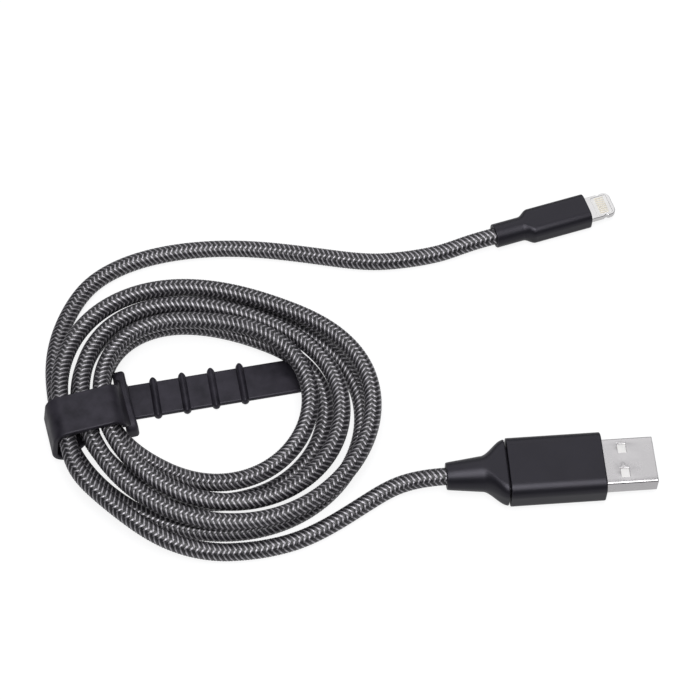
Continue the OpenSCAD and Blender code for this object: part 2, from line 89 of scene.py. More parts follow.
# The paper glows a little, more to the camera than in a reflection, so it shows white and keeps shadows
TO_CAMERA, TO_GLOSS = 0.84, 0.45
glow = nodes.new("ShaderNodeEmission")
seen = nodes.new("ShaderNodeLightPath")
total = nodes.new("ShaderNodeAddShader")
level = None
for ray, strength in (("Is Camera Ray", TO_CAMERA), ("Is Glossy Ray", TO_GLOSS)):
    share = nodes.new("ShaderNodeMath")
    share.operation = "MULTIPLY_ADD"
    share.inputs[1].default_value, share.inputs[2].default_value = strength, 0
    links.new(seen.outputs[ray], share.inputs[0])
    if level:
        links.new(level.outputs[0], share.inputs[2])
    level = share
links.new(level.outputs[0], glow.inputs["Strength"])
links.new(shader.outputs[0], total.inputs[0])
links.new(glow.outputs[0], total.inputs[1])
links.new(total.outputs[0], nodes["Material Output"].inputs["Surface"])
table_mesh.materials.append(paper)

# ---- The braided cord
# Wires in a soft jacket under a nylon sleeve. The sleeve is braided from twelve yarns each way, grey and
# black in turn. Those of one way pass over four and under two, so wide columns of floats stand by narrow.
CORD_D = 4.2
YARNS = 12
YARN_LAY = 7.4
YARN_CROWN = 0.1
YARN_DIVE = 0.1
# A yarn's path repeats after six crossings. Its wave is raised so that it is high over four of them, and is
# highest one and a half crossings past the yarn's own number.
REPEAT = 6
WAVE_RISE = 0.5
WAVE_START = 1.5
# A power under one, which makes crowns and waves fuller
FULLNESS = 0.7
# Each yarn is three faces wide
CUTS = 3
PER_RING = YARNS * CUTS
RING_STEP = YARN_LAY / (2 * PER_RING)


def yarn_height(across, along, way):
    """Height of the nearest yarn of one way. Across itself a yarn is a crown, one less the square of the
    distance from its middle. Along itself it is high over four crossings of six (way 1) or over the other
    two (way -1). That is a raised cosine whose high and low parts are each scaled to a height of one."""
    best = np.full(np.shape(across), -1.0)
    # A place on the border of two yarns takes the higher one
    for side in (-0.001, 0.001):
        middle = np.floor(across + 0.5 + side)
        wave = np.cos(2 * np.pi / REPEAT * (middle + along - WAVE_START)) + WAVE_RISE
        high = np.maximum(wave / (1 + WAVE_RISE), 0) ** FULLNESS
        low = np.maximum(-wave / (1 - WAVE_RISE), 0) ** FULLNESS
        wave = high - low
        crown = np.maximum(1 - (2 * (across - middle)) ** 2, 0) ** FULLNESS
        best = np.maximum(best, way * YARN_DIVE * wave + YARN_CROWN * crown)
    return best


def sleeve_height(a, b):
    """Heights of the right-hand and the left-hand yarns at lattice places a and b."""
    return yarn_height(a, b, -1), yarn_height(b, a, 1)


def smooth_route(points, way_in, way_out):
    """The clamped cubic spline through the points, with given ways in and out. Its slopes solve one linear
    system, and each span is the cubic Hermite curve of its two ends. It never sinks into the table."""
    points = np.array(points, float)
    gaps = np.linalg.norm(np.diff(points, axis=0), axis=1)
    slopes = np.diff(points, axis=0) / gaps[:, None]
    count = len(points)
    system, wanted = np.eye(count), np.zeros((count, 3))
    wanted[0], wanted[-1] = way_in, way_out
    inner = np.arange(1, count - 1)
    system[inner, inner - 1] = gaps[1:]
    system[inner, inner] = 2 * (gaps[:-1] + gaps[1:])
    system[inner, inner + 1] = gaps[:-1]
    wanted[1:-1] = 3 * (gaps[1:, None] * slopes[:-1] + gaps[:-1, None] * slopes[1:])
    tangents = np.linalg.solve(system, wanted)
    t = np.linspace(0, 1, 60, endpoint=False)[None, :, None]
    start, stop = points[:-1, None], points[1:, None]
    way_from, way_to = (tangents[:-1] * gaps[:, None])[:, None], (tangents[1:] * gaps[:, None])[:, None]
    curve = start * (2 * t**3 - 3 * t**2 + 1) + way_from * (t**3 - 2 * t**2 + t)
    curve = curve + stop * (3 * t**2 - 2 * t**3) + way_to * (t**3 - t**2)
    curve = np.vstack([curve.reshape(-1, 3), points[-1:]])
    curve[:, 2] = np.maximum(curve[:, 2], CORD_D / 2)
    return curve


def evenly(curve, step):
    """Points at equal distances along a curve, as near to the step as a whole number of steps allows."""
    run = np.concatenate([[0], np.cumsum(np.linalg.norm(np.diff(curve, axis=0), axis=1))])
    marks = np.linspace(0, run[-1], max(2, round(run[-1] / step)) + 1)
    return np.stack([np.interp(marks, run, curve[:, k]) for k in range(3)], axis=1), run[-1]


def mesh_from(name, points, faces, sharp=None):
    """A mesh object from points in millimetres and arrays of faces, each array with its own number of
    corners. Its faces are turned outwards by the sign of its volume, the sum of the triple products of its
    triangles' corners, and edges bent more than the given angle stay sharp."""
    placed = points - points.mean(axis=0)
    volume = sum(
        np.einsum("ij,ij->", placed[f[:, 0]], np.cross(placed[f[:, k]], placed[f[:, k + 1]]))
        for f in faces
        for k in range(1, f.shape[1] - 1)
    )
    faces = [f if volume > 0 else f[:, ::-1] for f in faces]
    corners = np.concatenate([f.ravel() for f in faces]).astype(np.int32)
    sizes = np.concatenate([np.full(len(f), f.shape[1]) for f in faces])
    mesh = bpy.data.meshes.new(name)
    mesh.vertices.add(len(points))
    mesh.vertices.foreach_set("co", (points * MM).astype(np.float32).ravel())
    mesh.loops.add(len(corners))
    mesh.loops.foreach_set("vertex_index", corners)
    mesh.polygons.add(len(sizes))
    mesh.polygons.foreach_set("loop_start", (np.cumsum(sizes) - sizes).astype(np.int32))
    mesh.update(calc_edges=True)
    mesh.polygons.foreach_set("use_smooth", np.ones(len(sizes), bool))
    if sharp:
        mesh.set_sharp_from_angle(angle=np.radians(sharp))
    piece = bpy.data.objects.new(name, mesh)
    scene.collection.objects.link(piece)
    return piece


# How far a yarn's dye is off its fellows', and a face's off its yarn's
YARN_CAST, FACE_CAST = 0.05, 0.04


def braid_sleeve(name, curve, turns, seed):
    """The braided sleeve along a curve, turned about it from one angle to another. Ring s has points at
    every second angle step p, and the next ring has those between, so every face is a small rhomb whose
    sides run along the yarns. Its lattice places are (p + 1 - s) / 2 and (p + 1 + s) / 2 in cuts."""
    centres, length = evenly(curve, RING_STEP)
    rings = len(centres)
    ways = np.gradient(centres, axis=0)
    ways /= np.linalg.norm(ways, axis=1)[:, None]
    sides = np.cross(ways, (0, 0, 1))
    sides /= np.linalg.norm(sides, axis=1)[:, None]
    tops = np.cross(sides, ways)
    s = np.arange(rings)[:, None]
    p = 2 * np.arange(PER_RING)[None, :] + s % 2
    a, b = (p + 1 - s) / (2 * CUTS), (p + 1 + s) / (2 * CUTS)
    high = np.maximum(*sleeve_height(a, b))
    radius = CORD_D / 2 - YARN_CROWN - YARN_DIVE + high
    angle = np.pi * p / PER_RING + np.radians(turns[0] + (turns[1] - turns[0]) * s / rings)
    points = centres[:, None] + radius[:, :, None] * (
        np.cos(angle)[:, :, None] * sides[:, None] + np.sin(angle)[:, :, None] * tops[:, None]
    )
    k = np.arange(PER_RING)[None, :]
    low = np.arange(rings - 2)[:, None]
    odd = low % 2
    before, after = (k - 1 + odd) % PER_RING, (k + odd) % PER_RING
    below, level, above = ((low + rise) * PER_RING for rise in (0, 1, 2))
    rhombs = np.stack([below + k, level + after, above + k, level + before], axis=-1).reshape(-1, 4)
    k = k[0]
    first, last = PER_RING * rings, PER_RING * rings + 1
    end = (rings - 1) * PER_RING
    turn = (rings - 1) % 2
    inner = end - PER_RING + (k + turn) % PER_RING
    triangles = np.concatenate(
        [
            np.stack([k, (k + 1) % PER_RING, PER_RING + k], axis=1),
            np.stack([end + (k + 1) % PER_RING, end + k, inner], axis=1),
            np.stack([(k + 1) % PER_RING, k, np.full(PER_RING, first)], axis=1),
            np.stack([end + k, end + (k + 1) % PER_RING, np.full(PER_RING, last)], axis=1),
        ]
    )
    points = np.vstack([points.reshape(-1, 3), centres[:1], centres[-1:]])
    piece = mesh_from(name, points, [rhombs, triangles])
    mesh = piece.data
    # Which yarn each face belongs to, and where on the yarn its corners are
    flip = mesh.loops[1].vertex_index != rhombs[0, 1]
    face_a = (2 * np.broadcast_to(k, (rings - 2, PER_RING)) + odd - low) / (2 * CUTS)
    face_b = face_a + (low + 1) / CUTS
    right, left = sleeve_height(face_a, face_b)
    is_right = (right >= left).ravel()
    own = np.where(is_right, np.floor(face_a + 0.5).ravel(), np.floor(face_b + 0.5).ravel()).astype(int)
    chance = np.random.default_rng(seed)
    cast = chance.normal(0, YARN_CAST, (2, YARNS))
    shade = (own % 2) + cast[is_right.astype(int), own % YARNS] + chance.normal(0, FACE_CAST, len(own))
    shades = np.concatenate([shade, np.zeros(len(triangles))])
    mesh.attributes.new("yarn_shade", "FLOAT", "FACE").data.foreach_set("value", shades.astype(np.float32))
    # How deep each point lies in the weave. The nylon darkens its colour by this as painted shade in the
    # valleys.
    depth = (high.ravel() + YARN_DIVE) / (YARN_CROWN + 2 * YARN_DIVE)
    depths = np.concatenate([depth, [1, 1]])
    mesh.attributes.new("yarn_depth", "FLOAT", "POINT").data.foreach_set("value", depths.astype(np.float32))
    step = np.array([[0, 0], [0, 1 / CUTS], [-1 / CUTS, 1 / CUTS], [-1 / CUTS, 0]])
    step = step + np.array([1 / (2 * CUTS), -1 / (2 * CUTS)])
    corner_a = face_a.reshape(-1, 1) + step[None, :, 0]
    corner_b = face_b.reshape(-1, 1) + step[None, :, 1]
    along = np.where(is_right[:, None], corner_b, corner_a)
    over = np.where(is_right[:, None], corner_a, corner_b) - own[:, None] + 0.5
    places = np.stack([along, over], axis=-1)
    if flip:
        places = places[:, ::-1]
    places = np.concatenate([places.reshape(-1, 2), np.zeros((3 * len(triangles), 2))])
    mesh.uv_layers.new(name="along_yarn").data.foreach_set("uv", places.astype(np.float32).ravel())
    mesh.materials.append(nylon)
    return piece, centres * MM, length * MM


def map_range(tree, source, low, high, start=0.0, stop=1.0):
    """A Map Range node from start and stop to low and high, fed from a socket."""
    node = tree.nodes.new("ShaderNodeMapRange")
    node.inputs["From Min"].default_value, node.inputs["From Max"].default_value = start, stop
    node.inputs["To Min"].default_value, node.inputs["To Max"].default_value = low, high
    tree.links.new(source, node.inputs["Value"])
    return node.outputs["Result"]


def maths(tree, operation, first, second):
    """A Math node of one operation, fed from sockets or numbers."""
    node = tree.nodes.new("ShaderNodeMath")
    node.operation = operation
    for socket, value in zip(node.inputs, (first, second)):
        if isinstance(value, (int, float)):
            socket.default_value = value
        else:
            tree.links.new(value, socket)
    return node.outputs[0]


nylon = bpy.data.materials.new("braided_nylon")
nylon.use_nodes = True
tree = nylon.node_tree
nodes, links = tree.nodes, tree.links
shader = nodes["Principled BSDF"]
shade_in, depth_in = nodes.new("ShaderNodeAttribute"), nodes.new("ShaderNodeAttribute")
shade_in.attribute_name, depth_in.attribute_name = "yarn_shade", "yarn_depth"
yarn_mix = nodes.new("ShaderNodeMix")
yarn_mix.data_type = "RGBA"
yarn_mix.inputs["A"].default_value = (0.012, 0.011, 0.015, 1)
yarn_mix.inputs["B"].default_value = (0.58, 0.56, 0.6, 1)
links.new(shade_in.outputs["Fac"], yarn_mix.inputs["Factor"])
strand_map = nodes.new("ShaderNodeUVMap")
strand_map.uv_map = "along_yarn"
split = nodes.new("ShaderNodeSeparateXYZ")
links.new(strand_map.outputs["UV"], split.inputs[0])
# Painted shade: the base colour is darkened in the valleys between the yarns, the deeper the darker, and at
# the sides of a yarn, where its filaments turn down. The valleys are real relief too, and the lamps shade
# them as well.
aside = maths(tree, "ABSOLUTE", maths(tree, "SUBTRACT", split.outputs["Y"], 0.5), 0)
painted_shade = maths(
    tree,
    "MULTIPLY",
    map_range(tree, depth_in.outputs["Fac"], 0.04, 1, 0.42, 0.95),
    map_range(tree, aside, 1, 0.2, 0.15, 0.5),
)
painted_shade_colour = nodes.new("ShaderNodeVectorMath")
painted_shade_colour.operation = "SCALE"
# The yarn colour times the painted shade
links.new(yarn_mix.outputs["Result"], painted_shade_colour.inputs[0])
links.new(painted_shade, painted_shade_colour.inputs["Scale"])
links.new(painted_shade_colour.outputs["Vector"], shader.inputs["Base Color"])
# Four filaments lie side by side in each yarn, and the grey ones shine more than the black
wave = maths(tree, "SINE", maths(tree, "MULTIPLY", split.outputs["Y"], 4 * np.pi), 0)
round_off = maths(tree, "ABSOLUTE", wave, 0)
filament_bump = nodes.new("ShaderNodeBump")
filament_bump.inputs["Strength"].default_value = 0.5
filament_bump.inputs["Distance"].default_value = 0.02 * MM
links.new(round_off, filament_bump.inputs["Height"])
links.new(filament_bump.outputs["Normal"], shader.inputs["Normal"])
links.new(map_range(tree, round_off, 0.52, 0.44), shader.inputs["Roughness"])
links.new(map_range(tree, shade_in.outputs["Fac"], 0.8, 1.0), shader.inputs["Specular IOR Level"])
links.new(map_range(tree, shade_in.outputs["Fac"], 0, 0.75), shader.inputs["Metallic"])
# Light glances off the filaments as off a bundle of rods, so it spreads across a yarn and not along it
rods = nodes.new("ShaderNodeTangent")
rods.direction_type, rods.uv_map = "UV_MAP", "along_yarn"
links.new(rods.outputs["Tangent"], shader.inputs["Tangent"])
shader.inputs["Anisotropic"].default_value = 0.75
shader.inputs["Anisotropic Rotation"].default_value = 0.25

# Five loops, each with eight stations: a station's reach, and its lane and level as the loops wind on. The
# bundle is lifted off the table where the strap passes under it, and some loops ride over the strap's tail.
LOOPS = 5
STATIONS = 8
COIL_X, COIL_Y, COIL_START = -32, -10, 189
STRAP_T, BAND_FIT = 1.3, 0.35
LAYER = CORD_D + 0.5
LIFT = STRAP_T + BAND_FIT
RIDE = 1.2 * (STRAP_T + 0.4) / LAYER
REACH = np.array([24.5, 19.8, 20.2, 24.6, 22.2, 18.9, 20.2, 27.1])
LANE_PLAY = np.array([0.5, 0.6, 0.7, 2.2, 3.6, 1.6, 0.7, 0.6])
LIFTED = np.array([1.265, 0.2, 0, 0, 0, 0, 0, 0.74])
LANE = np.array(
    [2.4, 2.6, 2.75, 1.98, 1.81, 1.33, 1.5, 1.4]
    + [1.35, 1.35, 1.1, 0.52, 0.72, 0, 0.1, 0.3]
    + [0.2, -0.1, 0.7, 0, 0.19, 0.16, -0.2, 0.05]
    + [0.1, 0.95, 1.7, 1.37, 1.05, 0.84, 0.8, 1.08]
    + [1.1, 1.95, 2.75, 2.19, 2.24, 1.46, 1.85, 2.14, 2.28]
)
LEVEL = np.array(
    [0, 0, 0, 0, 0, 0.12, 0, 0]
    + [0, 0, 0, 0, RIDE + 0.01, RIDE - 0.1, 0, 0]
    + [0, 0, 1, 1.16, 0.77 + RIDE, 1.02 + RIDE, 1, 1]
    + [1, 1, 1, 1.16, 1.11, 0.63, 1, 1]
    + [1, 1, 1, 1.09, 1.43, 1.01, 1, 1, 1]
)


def between(values, u, wraps):
    """A uniform cubic B-spline over a list's stations: four neighbouring values, weighed by the spline's
    cubic polynomials of the place between stations. A list that wraps starts again at its end."""
    cell = np.floor(u).astype(int)
    f = u - cell
    weights = ((1 - f) ** 3, 3 * f**3 - 6 * f**2 + 4, 3 * f + 3 * f**2 - 3 * f**3 + 1, f**3)
    places = (cell + k for k in (-1, 0, 1, 2))
    places = (k % len(values) if wraps else np.clip(k, 0, len(values) - 1) for k in places)
    return sum(w * values[k] for w, k in zip(weights, places)) / 6


def coil_points(t):
    """The coil's centre line at turn t: a circle whose radius is the reach plus the lane, at the height of
    its level and of the strap under it."""
    u = t * STATIONS
    turned = np.radians(COIL_START) + 2 * np.pi * t
    away = between(REACH, u % STATIONS, True)
    away = away + (CORD_D + between(LANE_PLAY, u % STATIONS, True)) * between(LANE, u, False)
    height = CORD_D / 2 + LAYER * between(LEVEL, u, False) + LIFT * between(LIFTED, u % STATIONS, True)
    return np.stack([COIL_X + away * np.cos(turned), COIL_Y + away * np.sin(turned), height], axis=1)


def heading(turn):
    """The level direction at a turn from +x: its cosine and its sine."""
    return np.array([np.cos(np.radians(turn)), np.sin(np.radians(turn)), 0])


def level_way(start, stop):
    """The level direction from one point to another, divided by its length."""
    way = (stop - start) * (1, 1, 0)
    return way / np.linalg.norm(way)


TYPE_A_AT, TYPE_A_TURN = np.array([59.8, -27.65, 4.3]), 4.2
PHONE_AT, PHONE_TURN = np.array([60.5, 45.6, 3.0]), 18.2
A_LEN, A_SEAM, A_FLARE, A_NECK = 22.2, 0.4, 5.9, 8.1
P_LEN, P_FLARE, P_NECK = 14.9, 2.8, 7.0
TYPE_A_MOUTH = TYPE_A_AT - (A_LEN + A_SEAM + A_FLARE + A_NECK) * heading(TYPE_A_TURN)
PHONE_MOUTH = PHONE_AT - (P_LEN + P_FLARE + P_NECK) * heading(PHONE_TURN)
# The cord runs on for one diameter in the coil's own direction at each end of the coil, and half a
# millimetre into each plug's mouth
NUDGE, INTO_PLUG = 0.002, 0.5
coil_start, coil_end = coil_points(np.array([0, NUDGE])), coil_points(np.array([LOOPS - NUDGE, LOOPS]))
COIL_IN_WAY, COIL_OUT_WAY = level_way(*coil_start), level_way(*coil_end)
COIL_IN, COIL_OUT = coil_start[0] - CORD_D * COIL_IN_WAY, coil_end[1] + CORD_D * COIL_OUT_WAY
phone_route = [
    PHONE_MOUTH + INTO_PLUG * heading(PHONE_TURN),
    *[(31, 36, 2.7), (23.5, 33.4, 2.1), (15, 31.5, 2.1), (7, 30.8, 2.1), (-3, 31.8, 2.1)],
    *[(-14, 33.5, 2.1), (-25, 34.6, 2.1), (-36, 34.4, 2.1), (-47, 32.5, 2.1), (-56, 29, 2.1)],
    *[(-63, 23.5, 2.2), (-67.5, 15.5, 2.4), (-69.8, 6.5, 2.8), (-70, -1.5, 3.4), (-69.3, -7, 3.7)],
    COIL_IN,
    coil_start[0],
]
type_a_route = [
    coil_end[1],
    COIL_OUT,
    *[(-64.3, -24, 8.3), (-61.8, -30.5, 8.1), (-56.5, -36.3, 7.5), (-50, -41.5, 6.6), (-43, -45.8, 5.2)],
    *[(-35, -48.3, 3.4), (-27, -48.7, 2.1), (-19, -47.9, 2.1), (-11, -45.7, 2.1), (-3, -41.5, 2.1)],
    *[(5, -36, 2.1), (12, -32, 2.7), (18, -30.8, 3.9)],
    TYPE_A_MOUTH + INTO_PLUG * heading(TYPE_A_TURN),
]
cord_lines = {"braided_phone_lead": smooth_route(phone_route, -heading(PHONE_TURN), COIL_IN_WAY)}
for loop in range(LOOPS):
    cord_lines[f"coil_loop_{loop + 1}"] = coil_points(np.linspace(loop, loop + 1, 721))
cord_lines["braided_type_a_lead"] = smooth_route(type_a_route, COIL_OUT_WAY, heading(TYPE_A_TURN))
# The angles about the cord, from its right-hand side up, by which each piece's columns are turned at its ends
COLUMN_TURNS = ((70, 12), (12, 0), (20, 30), (10, -10), (25, 5), (20, 10), (10, -20))
for number, (name, line) in enumerate(cord_lines.items()):
    piece, path, length = braid_sleeve(name, line, COLUMN_TURNS[number], number)
    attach(piece, "cable")
    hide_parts("cord_coil" if name.startswith("coil") else name.removeprefix("braided_"))

# ---- The strap's band
# A ribbed strap of moulded silicone rubber. Its band goes from the keeper over the bundle and back under
# it to the tail, 1.3 mm thick, with soft edges.
BAND_W, BAND_R = 10.4, CORD_D / 2 + BAND_FIT
STRAP_AT = coil_points(np.array([2.0]))[0] * (1, 1, 0)
STRAP_TURN = np.degrees(np.arctan2(COIL_IN_WAY[1], COIL_IN_WAY[0])) + 90
TAIL_W, TAIL_FIT, TAIL_Y = 9.2, 0.35, 3.7
RIB_H, RIB_EAR = 1.0, 0.95
KEEPER_W, KEEPER_T, KEEPER_OFF, POST_W = 2.2, 1.7, 1.6, 2.0
KEEPER_X, KEEPER_Y = BAND_R + KEEPER_OFF + KEEPER_W / 2, 3.15
KEEPER_TOP = STRAP_T + RIB_H + TAIL_FIT + KEEPER_T
KEEPER_LEN = TAIL_W + 2 * RIB_EAR + 5 * TAIL_FIT + 2 * POST_W


def turned(points, turn, at):
    """Points turned about the upright axis by the plane rotation, and set down at a place."""
    c, s = np.cos(np.radians(turn)), np.sin(np.radians(turn))
    return points @ np.array([[c, s, 0], [-s, c, 0], [0, 0, 1]]) + at


# How far the points that keep a flat side's shading lie from its arcs
SUPPORT = 0.15


def rounded_section(w, h, r, arc=7):
    """A rounded rectangle's points, anticlockwise, for arrays of widths, heights and radii: a quarter circle
    about the middle of each corner's arc. Two more points on each flat side keep its shading flat."""
    w, h, r = (np.asarray(v, float)[..., None] for v in np.broadcast_arrays(w, h, r))
    bend = np.concatenate([[0], np.linspace(0, np.pi / 2, arc), [np.pi / 2]])
    past_start, past_end = np.zeros(arc + 2), np.zeros(arc + 2)
    past_start[0], past_end[-1] = 1, 1
    sheets = []
    for quarter, (sy, sz) in enumerate(((1, 1), (-1, 1), (-1, -1), (1, -1))):
        a = bend + quarter * np.pi / 2
        flat_w, flat_h = w / 2 - r, h / 2 - r
        y, z = sy * flat_w + r * np.cos(a), sz * flat_h + r * np.sin(a)
        back_y, back_z = np.minimum(SUPPORT, flat_w), np.minimum(SUPPORT, flat_h)
        sinking, sliding = (past_end, past_start) if quarter % 2 else (past_start, past_end)
        sheets.append(np.stack([y - sy * back_y * sliding, z - sz * back_z * sinking], axis=-1))
    return np.concatenate(sheets, axis=-2)


def ring_skin(name, rings, loop=False, sharp=38):
    """A surface over rings of points, each joined to the next by four-sided faces. The last ring meets the
    first where it is a loop, and otherwise each end is closed by a fan about its middle."""
    count, per = rings.shape[:2]
    i = np.arange(count if loop else count - 1)[:, None]
    k = np.arange(per)[None, :]
    this, then, on = i * per, (i + 1) % count * per, (k + 1) % per
    quads = np.stack([this + k, this + on, then + on, then + k], axis=-1).reshape(-1, 4)
    points = rings.reshape(-1, 3)
    if loop:
        return mesh_from(name, points, [quads], sharp)
    k = k[0]
    middle, end, after = np.full(per, count * per), (count - 1) * per, (k + 1) % per
    fans = np.stack([after, k, middle], axis=1), np.stack([end + k, end + after, middle + 1], axis=1)
    points = np.vstack([points, rings[0].mean(axis=0), rings[-1].mean(axis=0)])
    return mesh_from(name, points, [quads, *fans], sharp)


def along_x(x, section):
    """The rings of a straight bar: each section of (y, z) points is set down at its own x."""
    x = np.broadcast_to(np.asarray(x, float)[:, None, None], (len(x), section.shape[-2], 1))
    return np.concatenate([x, np.broadcast_to(section, (len(x), *section.shape[-2:]))], axis=-1)


def mottle_and_grain():
    """A node group for moulded and stamped surfaces: a slow mottle that shades colour and gloss, and a fine
    grain for the bump, both noise at a size given in millimetres."""
    group = bpy.data.node_groups.new("mottle_and_grain", "ShaderNodeTree")
    for label, value in (("Mottle Size", 4.0), ("Grain Size", 0.15)):
        socket = group.interface.new_socket(name=label, in_out="INPUT", socket_type="NodeSocketFloat")
        socket.default_value = value
    for label in ("Mottle", "Grain"):
        group.interface.new_socket(name=label, in_out="OUTPUT", socket_type="NodeSocketFloat")
    add, link = group.nodes.new, group.links.new
    entry, leave, place = add("NodeGroupInput"), add("NodeGroupOutput"), add("ShaderNodeTexCoord")
    for label, detail in (("Mottle", 4), ("Grain", 2)):
        noise, scale = add("ShaderNodeTexNoise"), add("ShaderNodeMath")
        scale.operation = "DIVIDE"
        scale.inputs[0].default_value = 1 / MM
        link(entry.outputs[f"{label} Size"], scale.inputs[1])
        noise.inputs["Detail"].default_value = detail
        link(place.outputs["Object"], noise.inputs["Vector"])
        link(scale.outputs[0], noise.inputs["Scale"])
        link(noise.outputs["Fac"], leave.inputs[label])
    return group


surface_noise = mottle_and_grain()


def moulded_finish(name, dark, light, roughness, grain, mottle=4.0, **constants):
    """A finish whose colour and gloss drift between two values with the mottle, over a fine grain given as
    its size and depth in millimetres."""
    finish = bpy.data.materials.new(name)
    finish.use_nodes = True
    nodes, links = finish.node_tree.nodes, finish.node_tree.links
    shader = nodes["Principled BSDF"]
    for label, value in constants.items():
        shader.inputs[label.replace("_", " ")].default_value = value
    noise = nodes.new("ShaderNodeGroup")
    noise.node_tree = surface_noise
    noise.inputs["Mottle Size"].default_value = mottle
    noise.inputs["Grain Size"].default_value = grain[0]
    spread = nodes.new("ShaderNodeMapRange")
    spread.inputs["From Min"].default_value, spread.inputs["From Max"].default_value = 0.3, 0.7
    links.new(noise.outputs["Mottle"], spread.inputs["Value"])
    tint = nodes.new("ShaderNodeMix")
    tint.data_type = "RGBA"
    tint.inputs["A"].default_value, tint.inputs["B"].default_value = (*dark, 1), (*light, 1)
    links.new(spread.outputs["Result"], tint.inputs["Factor"])
    links.new(tint.outputs["Result"], shader.inputs["Base Color"])
    gloss = nodes.new("ShaderNodeMapRange")
    gloss.inputs["To Min"].default_value, gloss.inputs["To Max"].default_value = roughness
    links.new(spread.outputs["Result"], gloss.inputs["Value"])
    links.new(gloss.outputs["Result"], shader.inputs["Roughness"])
    bump = nodes.new("ShaderNodeBump")
    bump.inputs["Distance"].default_value = grain[1] * MM
    links.new(noise.outputs["Grain"], bump.inputs["Height"])
    links.new(bump.outputs["Normal"], shader.inputs["Normal"])
    return finish


def fit(piece, finish, body="cable", instead=()):
    """Gives a piece its finish in a material slot, and sets it on its body in the place of its CAD nodes."""
    piece.data.materials.append(finish)
    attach(piece, body)
    if instead:
        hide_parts(*instead)


rubber = moulded_finish(
    "strap_rubber",
    (0.009, 0.0082, 0.0115),
    (0.030, 0.027, 0.036),
    (0.4, 0.58),
    (0.12, 0.006),
    3.2,
    Specular_IOR_Level=0.38,
    Specular_Tint=(0.9, 0.87, 1.0, 1),
)
# The band leaves the keeper, bends round three loops of the bundle and ends under it, short of the tail
ROOT_X, ROOT_GAP, UNDER_Y = -1.5, 0.8, TAIL_Y - 0.4
SPREAD, BAND_Y, BAND_FLARE = 0.7, -1.9, 0.13
bundle = coil_points(np.array([3, LOOPS, 0]))
bend_x = (bundle - STRAP_AT) @ heading(STRAP_TURN) + (SPREAD, 0, 0)
bend_from, bend_to = np.radians([(0, 90), (90, 172), (172, 270)]).T
share = np.linspace(0, 1, 15)[None, :]
angle = bend_from[:, None] + (bend_to - bend_from)[:, None] * share
flared = np.array([BAND_FLARE, 0, 0])[:, None] * (1 - share)
half_out = BAND_R + STRAP_T / 2
bends = [
    bend_x[:, None] + half_out * np.cos(angle),
    bundle[:, 2:] + half_out * np.sin(angle),
    angle,
    BAND_Y + (KEEPER_Y - BAND_Y) * flared,
    BAND_W + (KEEPER_LEN - BAND_W) * flared,
]
# Each row is a place along the strap, a height, the way the strip faces, a sideways place and a width
rows = np.vstack(
    [
        (KEEPER_X - KEEPER_W / 2 + STRAP_T / 2, KEEPER_TOP - STRAP_T, 0, KEEPER_Y, KEEPER_LEN - 2 * KEEPER_T),
        np.stack(bends, axis=-1).reshape(-1, 5),
        (ROOT_X - ROOT_GAP, bundle[2, 2] - half_out, 1.5 * np.pi, UNDER_Y, BAND_W),
    ]
)
section = rounded_section(rows[:, 4], STRAP_T, 0.4, 5)
outward = np.stack([np.cos(rows[:, 2]), np.zeros(len(rows)), np.sin(rows[:, 2])], axis=1)
rings = (
    np.stack([rows[:, 0], rows[:, 3], rows[:, 1]], axis=1)[:, None]
    + section[:, :, :1] * (0, 1, 0)
    + section[:, :, 1:] * outward[:, None]
)
band = ring_skin("strap_band", turned(rings, STRAP_TURN, STRAP_AT))
fit(band, rubber, instead=["strap_loop"])

# ---- The strap's keeper
# A thick bar on two posts, moulded in one with the band. The tail runs through the slot under the bar, and
# its ribs catch on it.
POST_Y = KEEPER_LEN / 2 - POST_W / 2
BAR_Z = KEEPER_TOP - KEEPER_T / 2
KEEPER_BEND = 1.2
QUARTER = np.linspace(0, np.pi / 2, 9)
# The spine runs up one post, along the bar and down the other: half of it, and its mirror image
left_bend = (KEEPER_BEND - POST_Y, BAR_Z - KEEPER_BEND) + KEEPER_BEND * np.stack(
    [-np.cos(QUARTER), np.sin(QUARTER)], axis=1
)
half = np.vstack([[(-POST_Y, 0), (-POST_Y, 0.25)], left_bend, [(-POST_Y / 2, BAR_Z)]])
spine = np.vstack([half, half[::-1] * (-1, 1)])
spine_way = np.gradient(spine, axis=0)
spine_way[0] = spine_way[1] = (0, 1)
spine_way[-1] = spine_way[-2] = (0, -1)
spine_way /= np.linalg.norm(spine_way, axis=1)[:, None]
# The rubber swells past the keeper's plain width, and a little more toward its posts
SWELL, POST_SWELL = 1.22, 0.14
swollen = SWELL + POST_SWELL * np.abs(spine[:, 0] / POST_Y) ** 3
section = rounded_section(KEEPER_W * swollen, KEEPER_T, 0.8, 8)
thick = np.where(np.abs(spine[:, 1]) < BAR_Z - 0.2, POST_W / KEEPER_T, 1.0)
rings = np.stack(
    [
        KEEPER_X + section[:, :, 0],
        KEEPER_Y + spine[:, :1] - spine_way[:, 1:] * section[:, :, 1] * thick[:, None],
        np.maximum(spine[:, 1:] + spine_way[:, :1] * section[:, :, 1], 0),
    ],
    axis=-1,
)
keeper = ring_skin("strap_keeper", turned(rings, STRAP_TURN, STRAP_AT))
fit(keeper, rubber, instead=["strap_loop"])

# ---- The strap's tail
# The flat end of the strap, pulled through the keeper. Five ribs cross it, and their round ears stand out
# past its edges.
TAIL_LEN, TAIL_TURN, TAIL_ROOT = 43.0, -5.0, ROOT_X - KEEPER_X
RIBS, RIB_W, RIB_PITCH, RIB_START = 5, 1.9, 7.0, 0.3
END_CUT, SOFT_EDGE = 0.12, 0.45
